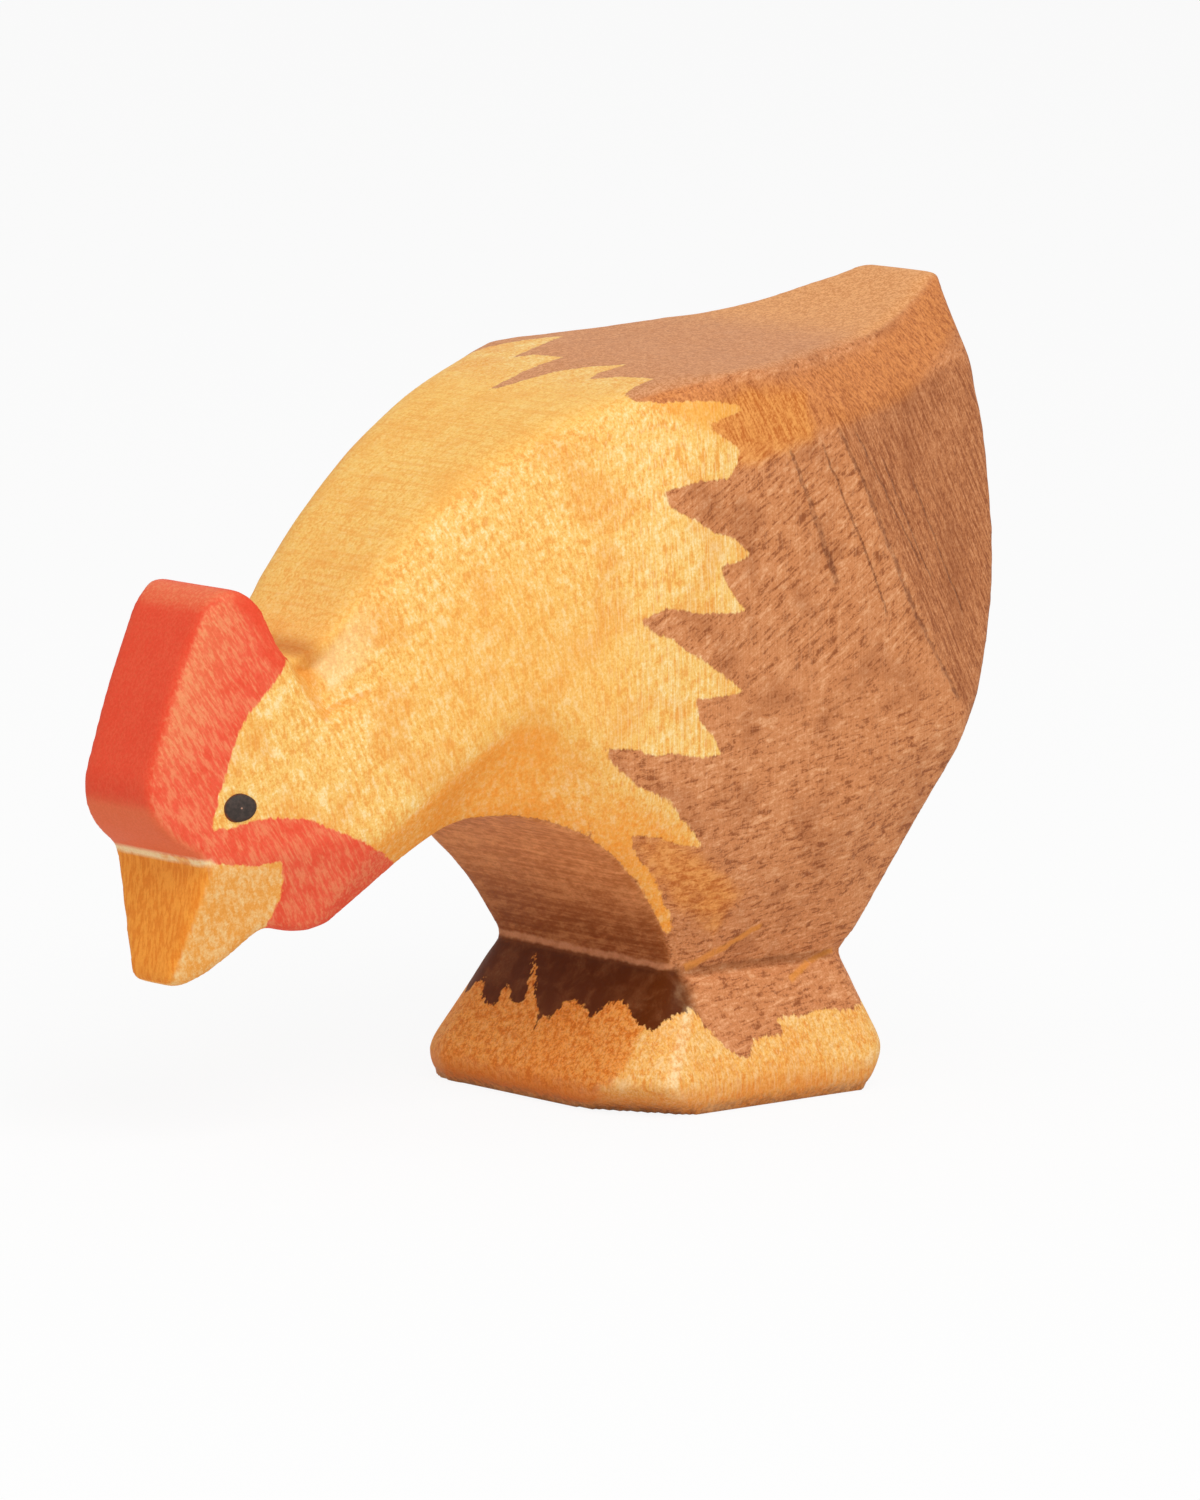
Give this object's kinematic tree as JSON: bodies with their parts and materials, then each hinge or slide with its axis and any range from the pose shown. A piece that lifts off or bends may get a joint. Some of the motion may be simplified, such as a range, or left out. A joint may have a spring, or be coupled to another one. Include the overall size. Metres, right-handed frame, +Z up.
{
  "type": "wooden chicken figure",
  "caption": "Hand-carved wooden hen pecking with its head low, on a flared rectangular foot, stained gold, brown and red, with painted eyes.",
  "frame": {"origin": "centre of the foot's flat underside, on the surface that the hen stands on", "axes": "+Z up, -Y the way the hen looks, +X the hen's left side; the plane X = 0 is the middle of the hen"},
  "size_m": [0.0252, 0.0643, 0.0503],
  "materials": {
    "stained_wood": "fine-grained light wood, stained with golden, brown and red colours, oiled and satin",
    "black_paint": "raised drop of near-black paint, slightly glossy"
  },
  "bodies": {
    "root": {"hen_body": "stained_wood", "eye_left": "black_paint", "eye_right": "black_paint"}
  },
  "joints": []
}
